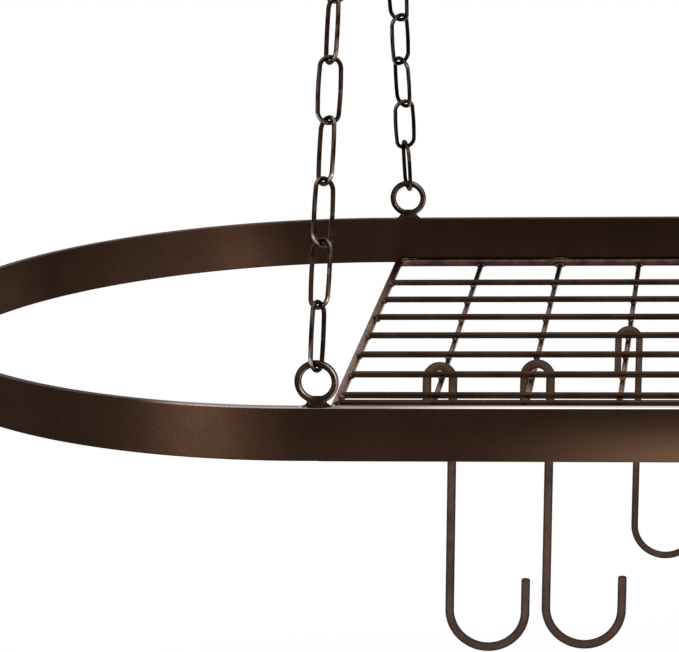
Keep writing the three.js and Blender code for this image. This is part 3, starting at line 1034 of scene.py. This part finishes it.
def chainAxis(where):
    return Vector(joints[f"chain_link_{where}_1_twist"]["axis"]).normalized()


def chainPlace(where, point):
    # the frame of a chain at a point: Z up the chain, X as near the oval's length as it goes
    side = -1 if "right" in where else 1
    axis = chainAxis(where)
    deep = axis.cross(Vector((side, 0, 0))).normalized()
    wide = deep.cross(axis)
    place = Matrix((wide, deep, axis)).transposed().to_4x4()
    place.translation = point
    return place


def makeChain(where):
    # the back left chain and its twin take the darker chain finish, a painted shade
    darker = where in chains["darker"]
    look = looks["paintedShadeChain" if darker else "chain"]
    turns = [math.radians(turn) for turn in chains["darkerTurns" if darker else "turns"]]
    side = "left" if "left" in where else "right"

    def hang(name, values, point, body, node):
        made = makeLink(name)
        grow(made, trees["links"], values | {"Material": look})
        moved(made, chainPlace(where, point))
        dress(made, look, body, "chain", node)

    for i in range(1, chains["loose"] + 1):
        node = f"chain_link_{where}_{i}"
        place = jointPoint(node + "_twist")
        hang(nameOf("chainLink", where, i), {"Count": 1, "First Turn": turns[i - 1]}, place, node, node)
    axis, count = chainAxis(where), chains["joined"]
    place += axis * looseStep
    rest = math.pi / 2 - turns[-1] - math.pi / 2 * count
    step = math.pi / 2 + (rest - math.pi * round(rest / math.pi)) / count
    upper = {"Count": count, "Pitch": joinedStep, "First Turn": turns[-1], "Turn Step": step}
    hang(nameOf("upperChain", where), upper, place, f"chains_{side}", f"upper_chain_{where}")
    place += axis * (joinedStep * (count - 1) + looseStep)
    hang(nameOf("topLink", where), {"Count": 1, "First Turn": math.pi / 2}, place, "hangers", f"top_link_{where}")


for corner in corners:
    makeChain(corner)
print("chains made")

# pot hooks
sideTurns = {"left": Matrix.Identity(4), "right": Matrix.Rotation(math.pi, 4, "Z")}
hooks = {
    "large_pot_hook": {"wire": 5, "seat": 19.6, "height": 168.6, "mouth": 48, "tip": 43.7, "leg": 28},
    "small_pot_hook": {"wire": 4, "seat": 16.2, "height": 140.2, "mouth": 40, "tip": 37, "leg": 23},
    "lean": math.radians(1.9),
    "shift": {1: 1.9, 2: -2.2, 3: 0.0},  # how far each rod lies off the middle of its hook's seat
    "seatGap": 0.3,
    "sides": 24,
    "seatSteps": 32,
    "mouthSteps": 48,
}


def makePotHook(size, side, rod):
    shape = hooks[size]
    wire, shift = shape["wire"], hooks["shift"][rod]
    seat = (shape["seat"] - wire) / 2
    reach = shape["seat"] / 2 - wire - rods["cross"] / mm / 2 - hooks["seatGap"]
    seatX, seatZ = -shift, -math.sqrt(reach ** 2 - shift ** 2)
    bottom = seatZ + shape["seat"] / 2 - shape["height"]
    mouth = (shape["mouth"] - wire) / 2
    mouthX = seatX + seat + mouth
    path = [(seatX - seat, seatZ - shape["leg"]), (seatX - seat, seatZ - shape["leg"] + 2 * wire)]
    path += arc((seatX, seatZ), seat, 180, 0, hooks["seatSteps"])
    path += arc((mouthX, bottom + shape["mouth"] / 2), mouth, 180, 360, hooks["mouthSteps"])
    path += [(mouthX + mouth, bottom + shape["tip"] - wire), (mouthX + mouth, bottom + shape["tip"])]
    path = [(x * mm, z * mm) for x, z in path]
    node = f"{size}_{side}_{rod}"
    name = nameOf(*node.split("_", 1))
    made = sweepWire(name, path, wire / 2 * mm, hooks["sides"], ends=cutTip(wire / 2 * mm))
    turned = sideTurns[side] @ Matrix.Rotation(hooks["lean"], 4, "Y")
    moved(made, Matrix.Translation(jointPoint(node + "_swing")) @ turned)
    dress(made, looks["hook"], node, "pot_hooks", node)


for side in ("left", "right"):
    makePotHook("large_pot_hook", side, 1)
    makePotHook("large_pot_hook", side, 2)
    makePotHook("small_pot_hook", side, 3)
print("pot hooks made")

# ceiling hooks
ceilingHook = {
    "wire": 5.8 * mm,
    "sides": 24,
    "start": -1.5 * mm,  # inside the collar
    "bowl": 14 * mm,
    "drop": 44 * mm,
    "bowlSteps": 48,
    "elbowTurn": 70,
    "elbowSteps": 12,
    "tip": 7 * mm,
    "collar": [(0.0, 0.0), (8.4, 0.0), (8.9, -0.4), (9.0, -0.9), (9.0, -2.2), (8.7, -2.8), (8.1, -3.0), (0.0, -3.0)],
    "collarSides": 40,
    "core": [(2.35, -1.5), (2.35, 24.0), (1.2, 29.5), (0.0, 32.0)],
    "thread": {"Turns": 9.0, "Radius": 2.1 * mm, "Length": 23 * mm, "Ridge": 0.85 * mm, "Steps": 20},
}


def spinProfile(name, profile, around):
    mesh, loops = bmesh.new(), []
    for radius, z in profile:
        spots = unitCircle(around if radius else 1)
        loops.append([mesh.verts.new((radius * mm * c, radius * mm * t, z * mm)) for c, t in spots])
    skin(mesh, loops)
    lids(mesh, loops)
    return meshObject(name, mesh)


def makeCeilingHook(side):
    shape = ceilingHook
    turn = math.radians(shape["elbowTurn"])
    elbow = shape["bowl"] * math.cos(turn) / (1 - math.cos(turn))
    bowlZ = shape["bowl"] - shape["drop"]
    elbowZ = bowlZ + (shape["bowl"] + elbow) * math.sin(turn)
    path = [(0, shape["start"])]
    path += arc((elbow, elbowZ), elbow, 180, 180 + shape["elbowTurn"], shape["elbowSteps"])
    path += arc((0, bowlZ), shape["bowl"], shape["elbowTurn"], -180, shape["bowlSteps"])
    path += [(-shape["bowl"], bowlZ + shape["tip"] / 2), (-shape["bowl"], bowlZ + shape["tip"])]
    wire = sweepWire("wire", path, shape["wire"] / 2, shape["sides"], ends=cutTip(shape["wire"] / 2))
    collar = spinProfile("collar", shape["collar"], shape["collarSides"])
    core = spinProfile("core", shape["core"], shape["sides"])
    thread = grow(emptyObject("thread"), trees["thread"], shape["thread"] | {"Material": looks["ceilingHook"]})
    made = joined(nameOf("ceilingHook", side), [wire, collar, core, thread])
    low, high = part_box(f"ceiling_hook_{side}")
    collarX = shape["bowl"] + shape["wire"] / 2
    x = low.x + collarX if side == "left" else high.x - collarX
    moved(made, Matrix.Translation((x, 0, 0)) @ sideTurns[side])
    dress(made, looks["ceilingHook"], "ceiling", "ceiling_hooks", f"ceiling_hook_{side}")


for side in ("left", "right"):
    makeCeilingHook(side)
print("ceiling hooks made")

# floor, world and lamps
studio = {
    "floorDrop": 0.55,  # under the lowest hook
    "floorSize": 8.0,
    "floorColour": (0.82, 0.82, 0.82, 1),
    "floorRough": 0.9,
    "floorFades": (1.1, 2.2),  # to plain white, from the middle
    "worldLight": 0.5,
    "lamps": [  # name, where, aimed at, size, watts, colour
        ("overhead", (0.0, -0.2, 1.1), (0, 0, -0.5), (2.0, 1.5), 14, (1, 0.98, 0.96)),
        ("frontLeft", (-1.34, -1.81, -0.4), (-0.2, -0.2, -0.5), (0.5, 1.3), 9.5, (1, 0.98, 0.96)),
        ("frontRight", (1.06, -1.81, -0.4), (0.1, 0.1, -0.5), (0.16, 1.3), 12, (1, 0.98, 0.96)),
    ],
}


def seenBy(tree, *rays):
    path = addNode(tree, "ShaderNodeLightPath").outputs
    seen = path["Is Camera Ray"]
    for ray in rays:
        seen = mathNode(tree, "MAXIMUM", seen, path[f"Is {ray} Ray"])
    return seen


def makeStudio():
    world = bpy.data.worlds.new("studioWorld")
    scene.world = world
    world.use_nodes = True
    tree = world.node_tree
    background = tree.nodes["Background"]
    seen = seenBy(tree, "Glossy", "Transmission")
    background.inputs["Color"].default_value = (1, 1, 1, 1)
    tree.links.new(rampNode(tree, seen, 0.0, 1.0, studio["worldLight"], 1.0), background.inputs["Strength"])

    mesh = bmesh.new()
    bmesh.ops.create_grid(mesh, x_segments=8, y_segments=8, size=studio["floorSize"])
    floor = meshObject("floor", mesh, smooth=False)
    floor.data.transform(Matrix.Translation((0, 0, cadBox[0].z - studio["floorDrop"])))
    material = bpy.data.materials.new("floorWhite")
    tree, shader, place = nodesIn(material)
    feedAll(tree, shader, {
        "BaseColor": studio["floorColour"], "Roughness": studio["floorRough"], "SpecularIORLevel": 0.0,
    })
    far = addNode(tree, "ShaderNodeVectorMath", {"operation": "LENGTH"}, Vector=place).outputs["Value"]
    glow = addNode(tree, "ShaderNodeEmission", Color=(1, 1, 1, 1), Strength=1.0)
    share = times(tree, seenBy(tree, "Glossy"), rampNode(tree, far, *studio["floorFades"]))
    mix = addNode(tree, "ShaderNodeMixShader", Fac=share)
    tree.links.new(shader.outputs[0], mix.inputs[1])
    tree.links.new(glow.outputs[0], mix.inputs[2])
    tree.links.new(mix.outputs[0], tree.nodes["Material Output"].inputs["Surface"])
    floor.data.materials.append(material)

    for name, where, aim, size, watts, colour in studio["lamps"]:
        lamp = bpy.data.lights.new(name, "AREA")
        lamp.shape = "RECTANGLE"
        lamp.size, lamp.size_y = size
        lamp.energy = watts
        lamp.color = colour
        holder = bpy.data.objects.new(name, lamp)
        scene.collection.objects.link(holder)
        holder.location = where
        holder.rotation_euler = (Vector(aim) - Vector(where)).to_track_quat("-Z", "Y").to_euler()


makeStudio()
scene.view_settings.view_transform = "Standard"
print("studio set")
